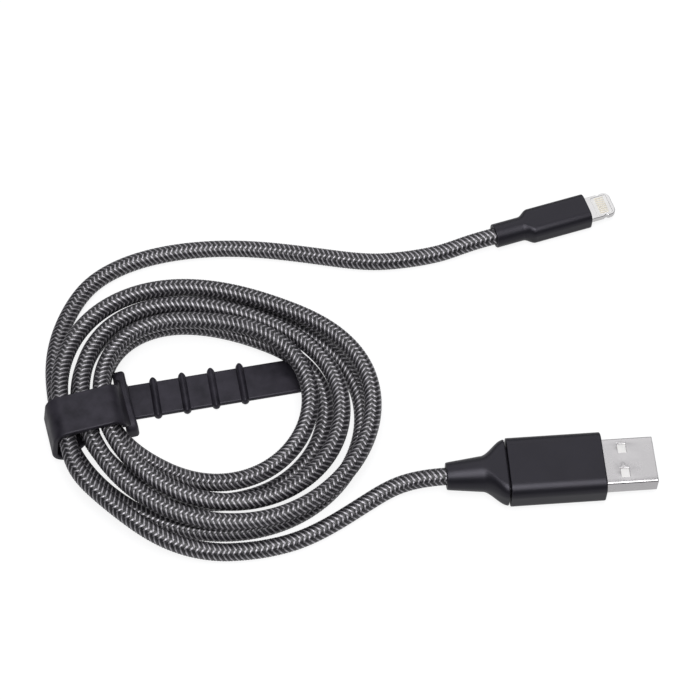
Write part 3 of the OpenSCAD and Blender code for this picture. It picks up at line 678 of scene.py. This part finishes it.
# A section's radius stops a hair short of half its size, which keeps its points apart
HAIR = 0.02
ribs = RIB_START + RIB_PITCH * np.arange(RIBS)
over = np.concatenate([[-1.3, -1.05], np.sin(np.linspace(-np.pi / 2, np.pi / 2, 17)), [1.05, 1.3]])
between_ribs = np.linspace(TAIL_ROOT + 0.5, TAIL_LEN - 0.5, 24)
x = np.sort(np.concatenate([(ribs[:, None] + over * RIB_W / 2).ravel(), between_ribs]))
nearest = np.abs(x[:, None] - ribs).min(axis=1) / (RIB_W / 2)
# A rib swells by one less the square of the distance from its middle, made fuller by a power under one, and
# both ends of the tail are pinched to a soft edge
swell = np.pad(np.maximum(1 - nearest**2, 0) ** 0.75, 2)
x = np.concatenate([[TAIL_ROOT, TAIL_ROOT + END_CUT], x, [TAIL_LEN - END_CUT, TAIL_LEN]])
pinch = np.concatenate([[0.35, 0.08], np.zeros(len(x) - 4), [0.08, 0.35]])
wide = TAIL_W + 2 * RIB_EAR * swell - 2 * pinch
tall = STRAP_T + RIB_H * swell - 2 * pinch
section = rounded_section(wide, tall, np.minimum(SOFT_EDGE * (1 + swell), tall / 2 - HAIR), 6)
rings = along_x(x, section)
rings[:, :, 2] += (tall / 2 + pinch)[:, None]
rings = turned(rings, TAIL_TURN, (KEEPER_X, TAIL_Y, 0))
tail = ring_skin("strap_ribbed_tail", turned(rings, STRAP_TURN, STRAP_AT))
fit(tail, rubber, "tail", ["strap_tail"])

# ---- The type A plug's housing and boot
# Two shells of matte charcoal plastic that meet at a narrow seam: a box with soft long edges, and a boot
# that flares down to a round neck about the cord.
A_W, A_H, A_R, A_WALL = 15.7, 8.6, 2.8, 1.1
A_NECK_D, A_MOUTH_D = 8.3, 6.4
SHELL_W, SHELL_H, SHELL_T, SHELL_OUT, SHELL_IN, SHELL_R = 12.0, 4.5, 0.3, 12.1, 12.0, 0.6
SEAT = 0.05
CORD_BORE = CORD_D + 2 * SEAT


def edge_round(x, w, h, r, ease, way=1):
    """Stations (x, width, height, corner radius) of a rounded end edge: a quarter circle of radius ease, from
    the side out to the face (way 1) or back (way -1). A negative ease is for an edge that faces -x."""
    turns = np.linspace(0, np.pi / 2, 5)
    places = zip(x - ease * (1 - np.sin(turns)), abs(ease) * (1 - np.cos(turns)))
    stations = [(at, w - 2 * inset, h - 2 * inset, max(r - inset, 0.05)) for at, inset in places]
    support = [(x - 1.3 * ease, w, h, r)]
    return support + stations if way > 0 else stations[::-1] + support


def round_at(x, d):
    """A round station: its corner radius is half its width, less a hair."""
    return x, d, d, d / 2 - HAIR


def flare(x, length, start, stop, count):
    """Stations of a flare along -x from one section (width, height, corner radius) to another. The change
    follows a smooth step, three squares of the share less two cubes."""
    share = np.linspace(0, 1, count)[:, None]
    step = share * share * (3 - 2 * share)
    return np.hstack([x - length * share, np.array(start) + (np.array(stop) - start) * step]).tolist()


def plug_shell(name, stations, at, turn):
    """A walled shell through stations that run along its outside and back inside, each a rounded rectangle
    set down at its x, and all of them placed and turned as the plug is."""
    stations = np.array(stations, float)
    section = rounded_section(stations[:, 1], stations[:, 2], stations[:, 3], 11)
    return ring_skin(name, turned(along_x(stations[:, 0], section), turn, at), loop=True)


charcoal = moulded_finish(
    "charcoal_plastic",
    (0.0105, 0.01, 0.0132),
    (0.013, 0.0122, 0.0162),
    (0.36, 0.4),
    (0.1, 0.002),
    6.0,
    Specular_IOR_Level=0.42,
    Specular_Tint=(0.9, 0.87, 1.0, 1),
)
inner_w, inner_h = A_W - 2 * A_WALL, A_H - 2 * A_WALL
pocket = (inner_w, inner_h, A_R - A_WALL)
spigot = (inner_w - 2, inner_h - 2, 0.5)
socket = (spigot[0] + 2 * SEAT, spigot[1] + 2 * SEAT, 0.5)
opening = (SHELL_W + 2 * SEAT, SHELL_H + 2 * SEAT, SHELL_R)
housing = plug_shell(
    "type_a_case",
    edge_round(-A_LEN, A_W, A_H, A_R, -0.2, -1)
    + edge_round(0, A_W, A_H, A_R, 0.3)
    + [(0, opening[0] + 0.3, opening[1] + 0.3, SHELL_R + 0.15), (-0.15, *opening), (-A_WALL, *opening)]
    + [(-A_WALL, *pocket), (A_WALL - A_LEN, *pocket), (A_WALL - A_LEN, *socket), (-A_LEN, *socket)],
    TYPE_A_AT,
    TYPE_A_TURN,
)
fit(housing, charcoal, instead=["type_a_housing"])

# The boot stands in a little from the housing, and its spigot reaches into the housing past the seam
BOOT_W, BOOT_H, SPIGOT_END = A_W - 0.5, A_H - 0.3, 1.4 - A_LEN
flare_x = -A_LEN - A_SEAM
neck_x = flare_x - A_FLARE
mouth_x = neck_x - A_NECK
neck = [round_at(neck_x - A_NECK * f, A_NECK_D + (A_MOUTH_D - A_NECK_D) * f) for f in np.linspace(0, 1, 9)]
boot = plug_shell(
    "type_a_strain_boot",
    [(SPIGOT_END, *spigot), (flare_x, *spigot)]
    + edge_round(flare_x, BOOT_W, BOOT_H, A_R, 0.15)[::-1][:-1]
    + flare(flare_x, A_FLARE, (BOOT_W, BOOT_H, A_R), round_at(neck_x, A_NECK_D)[1:], 25)[2:]
    + neck[1:-1]
    + edge_round(*round_at(mouth_x, A_MOUTH_D), -0.25)[1:]
    + [round_at(mouth_x, CORD_BORE + 0.3), round_at(mouth_x + 0.15, CORD_BORE)]
    + [round_at(SPIGOT_END, CORD_BORE)],
    TYPE_A_AT,
    TYPE_A_TURN,
)
fit(boot, charcoal, instead=["type_a_boot"])

# ---- The type A plug's shell
# Nickel-plated sheet steel, folded round into a rectangular sleeve with two square windows on each broad
# side, pressed by machine, and left bright.
steel = moulded_finish(
    "plated_steel", (0.6, 0.585, 0.595), (0.63, 0.615, 0.625), (0.24, 0.28), (0.6, 0.0003), 3.0, Metallic=1.0
)
WINDOW_L, WINDOW_W, WINDOW_GAP, WINDOW_X = 2.0, 2.4, 6.4, 4.7
# The sleeve's outline is one half with stops at each window's edges and middle, and that half turned over
edges = (WINDOW_GAP + WINDOW_W) / 2, WINDOW_GAP / 2, (WINDOW_GAP - WINDOW_W) / 2
stops = np.array([*edges, 0, *(-v for v in edges[::-1])])
arc = np.linspace(0, np.pi / 2, 7)
arc_y, arc_z = SHELL_W / 2 - SHELL_R + SHELL_R * np.sin(arc), SHELL_H / 2 - SHELL_R + SHELL_R * np.cos(arc)
half = np.vstack(
    [
        np.stack([arc_y[::-1], arc_z[::-1]], axis=1),
        np.stack([stops, np.full(len(stops), SHELL_H / 2)], axis=1),
        np.stack([-arc_y, arc_z], axis=1),
    ]
)
outline = np.vstack([half, -half])
window_edges = WINDOW_X + np.array([-0.5, 0, 0.5]) * WINDOW_L
stations = np.array([-SHELL_IN, -2, 0, 1.85, *window_edges, 8.9, 11.0, 11.8, SHELL_OUT])
rings = along_x(stations, outline)
count, per = rings.shape[:2]
i, k = np.arange(count - 1)[:, None] * per, np.arange(per)[None, :]
after = (k + 1) % per
quads = np.stack([i + k, i + after, i + per + after, i + per + k], axis=-1).reshape(-1, 4)
flat_points = rings.reshape(-1, 3)
x, y, z = np.abs(flat_points[quads].mean(axis=1) - (WINDOW_X, 0, 0)).T
in_window = (x < WINDOW_L / 2) & (np.abs(y - WINDOW_GAP / 2) < WINDOW_W / 2) & (z > SHELL_H / 2 - 0.1)
shell = mesh_from("type_a_plug_shell", turned(flat_points, TYPE_A_TURN, TYPE_A_AT), [quads[~in_window]], 38)
wall = shell.modifiers.new("sheet", "SOLIDIFY")
wall.thickness, wall.offset = SHELL_T * MM, -1
wall.use_even_offset = True
fold = shell.modifiers.new("edges", "BEVEL")
fold.width, fold.segments, fold.limit_method, fold.angle_limit = 0.07 * MM, 2, "ANGLE", np.radians(40)
fit(shell, steel, instead=["type_a_shell"])

# ---- The lips at the windows
# Beside each window the sheet is pressed up into a short low ridge, as bright as the rest of the plate. The
# four ridges are one piece, set on the shell's two broad sides.


def joined(name, parts):
    """One piece from several of the same finish, which takes their points and faces together."""
    with bpy.context.temp_override(active_object=parts[0], selected_editable_objects=parts):
        bpy.ops.object.join()
    parts[0].name = parts[0].data.name = name
    return parts[0]


LIP_L, LIP_W, LIP_H, LIP_OFF = 2.7, 0.34, 0.12, 0.3
share = np.concatenate([[-1], np.sin(np.linspace(-1.4, 1.4, 9)), [1]])
swell = np.sqrt(np.maximum(1 - share**2, 0.01))
section = rounded_section(LIP_W * swell, LIP_H * swell, 0.055 * swell, 4)
lips = []
for y in (-1, 1):
    for side in (-1, 1):
        rings = along_x(WINDOW_X + share * LIP_L / 2, section)
        rings[:, :, 1] += y * WINDOW_GAP / 2 + WINDOW_W / 2 + LIP_OFF
        rings[:, :, 2] += side * (SHELL_H / 2 - HAIR)
        lips.append(ring_skin("lip", turned(rings, TYPE_A_TURN, TYPE_A_AT)))
lips = joined("type_a_window_lips", lips)
fit(lips, steel)

# ---- The type A plug's tongue and contacts
# A slab of white plastic against the shell's upper side, so it shows in the windows. Four gold-plated strips
# run through it from the wires, lie in its lower face and bend into it at their noses.
ivory = moulded_finish("white_plastic", (0.8, 0.79, 0.78), (0.88, 0.87, 0.86), (0.32, 0.4), (0.15, 0.002))
gold = moulded_finish(
    "contact_gold", (0.84, 0.77, 0.63), (0.9, 0.85, 0.74), (0.24, 0.34), (0.3, 0.0005), Metallic=1.0
)
TONGUE_W, TONGUE_T, TONGUE_TIP, TONGUE_TOP = 10.7, 1.84, SHELL_OUT - 0.7, -0.11
x = np.array([-SHELL_IN, 0.15 - SHELL_IN, TONGUE_TIP - 0.5, TONGUE_TIP - 0.1, TONGUE_TIP])
inset = np.array([0.15, 0, 0, 0.12, 0.3])
section = rounded_section(TONGUE_W - 2 * inset, TONGUE_T - 2 * inset, 0.15, 5)
rings = along_x(x, section)
rings[:, :, 2] = TONGUE_T / 2 - TONGUE_TOP - rings[:, :, 2]
tongue = ring_skin("type_a_contact_tongue", turned(rings, TYPE_A_TURN, TYPE_A_AT))
fit(tongue, ivory, instead=["type_a_tongue"])

STRIP_W, STRIP_T, NOSE, NOSE_DIP = 1.0, 0.2, 0.5, 0.35
strips = []
for y, tip in zip((-3.5, -1, 1, 3.5), (10.2, 9.2, 9.2, 10.2)):
    nose_x = tip - NOSE + NOSE * np.sin(QUARTER)
    x = np.concatenate([[-13.8, -13.0, 5.7, 5.9, 6.1], np.linspace(6.3, tip - NOSE, 4), nose_x])
    z = np.interp(x, [-14, 5.7, 6.1, 6.3], [-0.26, -0.26, -0.21, -0.175])
    z[-len(QUARTER) :] -= NOSE_DIP * (1 - np.cos(QUARTER))
    rings = along_x(x, rounded_section(np.full(len(x), STRIP_W), STRIP_T, 0.06, 3))
    rings[:, :, 1] += y
    rings[:, :, 2] = -rings[:, :, 2] - z[:, None]
    strips.append(ring_skin("strip", turned(rings, TYPE_A_TURN, TYPE_A_AT)))
strips = joined("type_a_gold_strips", strips)
fit(strips, gold, instead=["type_a_contacts"])

# ---- The phone plug's housing
# One moulding of the same charcoal plastic, with rounded long edges, that narrows behind to a round neck.
P_W, P_H, P_R, P_WALL, P_NECK_D = 8.4, 6.0, 2.1, 0.75, 6.0
TAB_W, TAB_T, TAB_OUT, TAB_IN, TAB_R, TAB_RIM = 6.7, 1.5, 6.9, 4.0, 1.6, 0.65
p_neck_x = -P_LEN - P_FLARE
p_mouth_x = p_neck_x - P_NECK
tab_slot, hollow = (TAB_W + 2 * SEAT, TAB_T + 2 * SEAT, 0.1), (P_W - 2 * P_WALL, P_H - 2 * P_WALL, 0.5)
phone_housing = plug_shell(
    "phone_plug_case",
    [(0, *tab_slot)]
    + edge_round(0, P_W, P_H, P_R, 0.3)[::-1]
    + flare(-P_LEN, P_FLARE, (P_W, P_H, P_R), round_at(p_neck_x, P_NECK_D)[1:], 17)
    + edge_round(*round_at(p_mouth_x, P_NECK_D), -0.2)
    + [round_at(p_mouth_x, CORD_BORE + 0.2), round_at(p_mouth_x + 0.1, CORD_BORE)]
    + [round_at(1 - P_LEN, CORD_BORE)]
    + [(1 - P_LEN, *hollow), (-P_WALL, *hollow), (-P_WALL, *tab_slot)],
    PHONE_AT,
    PHONE_TURN,
)
fit(phone_housing, charcoal, instead=["phone_housing"])

# ---- The phone plug's tab
# A pressed and polished metal frame with a round-cornered tip and a notch in each edge, round a pale
# plastic insert. Eight gold-plated contacts lie in the insert on each face.
polished = moulded_finish(
    "polished_frame", (0.72, 0.71, 0.71), (0.78, 0.77, 0.77), (0.12, 0.18), (0.6, 0.0004), 2.0, Metallic=1.0
)
INSERT_X0, INSERT_X1, INSERT_W = 2.0, TAB_OUT - 0.9, TAB_W - 2 * TAB_RIM
PADS, PAD_PITCH, PAD_W, PAD_L = 8, 0.62, 0.4, 2.4
NOTCH_X, NOTCH_L, NOTCH_D = 0.1, 0.42, 0.3
PLAN_POINTS = 160


def plan_outline(x0, x1, w, r, notch=0.0):
    """A rounded rectangle seen from above, sampled at equal turns about the insert's middle, so that outlines
    that lie inside each other match point for point. A notch hollows each long edge by its depth times the
    exponential of minus the fourth power of the distance from it."""
    middle = (INSERT_X0 + INSERT_X1) / 2
    edge = rounded_section(x1 - x0, w, r, 12) + ((x0 + x1) / 2 - middle, 0)
    a, out = np.arctan2(edge[:, 1], edge[:, 0]), np.hypot(edge[:, 0], edge[:, 1])
    order = np.argsort(a)
    turns = np.linspace(-np.pi, np.pi, PLAN_POINTS, endpoint=False)
    steps = np.linspace(0, 1, 40)
    full = np.append(order, order[0])
    dense = edge[full[:-1], None] * (1 - steps[:, None]) + edge[full[1:], None] * steps[:, None]
    dense = dense.reshape(-1, 2)
    a, out = np.arctan2(dense[:, 1], dense[:, 0]), np.hypot(dense[:, 0], dense[:, 1])
    order = np.argsort(a)
    reach = np.interp(turns, a[order], out[order], period=2 * np.pi)
    plan = reach[:, None] * np.stack([np.cos(turns), np.sin(turns)], axis=1)
    at_edge = np.abs(plan[:, 1]) > w / 2 - NOTCH_D
    hollow = notch * np.exp(-(((plan[:, 0] - NOTCH_X) / NOTCH_L) ** 4)) * at_edge
    plan[:, 1] -= np.sign(plan[:, 1]) * hollow
    return plan + (middle, 0)


def plan_stack(name, layers, loop):
    """A piece through outlines seen from above, each at its height, set down at the phone plug."""
    rings = np.stack([np.column_stack([plan, np.full(len(plan), z)]) for plan, z in layers])
    return ring_skin(name, turned(rings, PHONE_TURN, PHONE_AT), loop, 30)


half_t, soft = TAB_T / 2, 0.16
turns = np.linspace(0, np.pi / 2, 5)
frame_edge = list(zip(soft * (1 - np.sin(turns)), half_t - soft * (1 - np.cos(turns))))
outer = [(plan_outline(-TAB_IN, TAB_OUT - i, TAB_W - 2 * i, TAB_R - i, NOTCH_D), z) for i, z in frame_edge]
hole = [
    (plan_outline(INSERT_X0 - i, INSERT_X1 + i, INSERT_W + 2 * i, 0.35 + i), z)
    for i, z in ((0, half_t - 0.06), (0.06, half_t))
]
tab_frame = plan_stack(
    "phone_plug_frame",
    [(plan, -z) for plan, z in outer] + outer[::-1] + hole[::-1] + [(plan, -z) for plan, z in hole],
    True,
)
fit(tab_frame, polished, instead=["phone_tab_frame"])

PAD_BED = half_t - 0.03
lid, wide = (plan_outline(INSERT_X0, INSERT_X1, INSERT_W - 2 * i, 0.35 - i / 2) for i in (0.05, 0))
layers = [(lid, -PAD_BED), (wide, 0.05 - PAD_BED), (wide, PAD_BED - 0.05), (lid, PAD_BED)]
insert = plan_stack("phone_plug_insert", layers, False)
fit(insert, ivory, instead=["phone_tab_insert"])

# A pad goes in under the insert's face, stands up straight, and is eased at its top
inset, rise = np.array([(0.1, -0.1), (0, -0.1), (0, 0), (0.05, 0.02)]).T
section = rounded_section(PAD_L - 2 * inset, PAD_W - 2 * inset, 0.14, 4)
pads = []
for number in range(PADS):
    for side in (-1, 1):
        z = np.broadcast_to((side * (PAD_BED + rise))[:, None, None], (*section.shape[:2], 1))
        rings = np.concatenate([section, z], axis=-1)
        rings += ((INSERT_X0 + INSERT_X1) / 2, (number - (PADS - 1) / 2) * PAD_PITCH, 0)
        pads.append(ring_skin("pad", turned(rings, PHONE_TURN, PHONE_AT)))
pads = joined("phone_plug_pads", pads)
fit(pads, gold, instead=["phone_contacts"])

# ---- Inside the plugs
# Soldered wires, crimped collars, white inner mouldings and the phone plug's board, chips and shield can.
# Both plugs' insides are set in their mouldings before the outer shells close over them.
tin = moulded_finish("solder_tin", (0.6, 0.6, 0.6), (0.7, 0.7, 0.69), (0.3, 0.45), (0.4, 0.01), Metallic=1.0)
red_cover = moulded_finish("wire_cover", (0.4, 0.03, 0.025), (0.5, 0.04, 0.03), (0.4, 0.5), (0.2, 0.004))
jacket = moulded_finish("cord_jacket", (0.05, 0.05, 0.055), (0.08, 0.08, 0.085), (0.5, 0.6), (0.2, 0.02))
board = moulded_finish("board_green", (0.02, 0.13, 0.05), (0.03, 0.18, 0.07), (0.3, 0.4), (0.3, 0.01))
chip = moulded_finish("chip_black", (0.02, 0.02, 0.022), (0.035, 0.035, 0.037), (0.4, 0.5), (0.1, 0.006))

# These CAD nodes keep their shape and take a finish in each of their material slots
for node, finish in {
    "type_a_solder": tin,
    "type_a_wires": red_cover,
    "type_a_inner_mould": ivory,
    "type_a_crimp_collar": steel,
    "type_a_cord_end": jacket,
    "phone_board": board,
    "phone_chips": chip,
    "phone_shield_can": tin,
    "phone_inner_mould": ivory,
    "phone_wires": red_cover,
    "phone_crimp_collar": steel,
    "phone_cord_end": jacket,
}.items():
    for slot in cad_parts[node].material_slots:
        slot.material = finish
